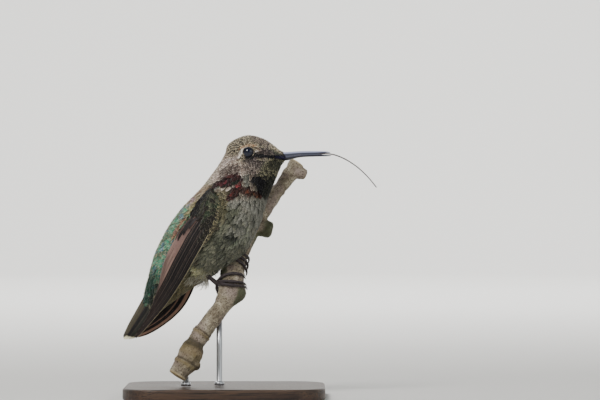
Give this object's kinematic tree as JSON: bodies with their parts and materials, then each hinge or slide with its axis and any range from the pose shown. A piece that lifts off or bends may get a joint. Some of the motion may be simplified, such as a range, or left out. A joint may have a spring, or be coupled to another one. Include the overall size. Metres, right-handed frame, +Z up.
{
  "type": "hummingbird",
  "caption": "Life-size still hummingbird gripping a cut twig, tongue out, on a flat museum stand with short rods.",
  "frame": {"origin": "middle of the underside of the stand's base", "axes": "+Z up, the bird faces -Y, its left side is +X"},
  "size_m": [0.058, 0.0865, 0.0891],
  "materials": {
    "plumage_head": "soft speckled feathers, brown-olive centres with beige-grey fringes",
    "plumage_body": "soft feathers: grey mottled front, green back with buff fringes",
    "gorget": "small iridescent throat scales, near black to red and copper",
    "flight_feathers": "smooth black-brown to mauve-brown vanes with fine pale shafts",
    "tail_feathers": "smooth dark vanes, bronze-green in the middle, white at the outer tips",
    "bill_horn": "dark smooth horn with a bluish sheen",
    "tongue_skin": "thin damp dark-grey skin",
    "eye_glass": "polished near-black eye",
    "leg_skin": "fine scutes on dark skin, black claws",
    "bark": "pale grey-beige mottled bark with darker joints",
    "base_wood": "dark stained wood, satin varnish",
    "rod_steel": "thin plain steel rod"
  },
  "bodies": {
    "root": {"head": "plumage_head", "neck": "gorget", "trunk": "plumage_body", "tail": "tail_feathers", "wing_left": "flight_feathers", "wing_right": "flight_feathers", "eye_left": "eye_glass", "eye_right": "eye_glass", "bill_upper": "bill_horn", "bill_lower": "bill_horn", "tongue": "tongue_skin", "leg_left": "leg_skin", "leg_right": "leg_skin", "foot_left": "leg_skin", "foot_right": "leg_skin", "perch": "bark", "stand_base": "base_wood", "stand_rod_1": "rod_steel", "stand_rod_2": "rod_steel"}
  },
  "joints": []
}
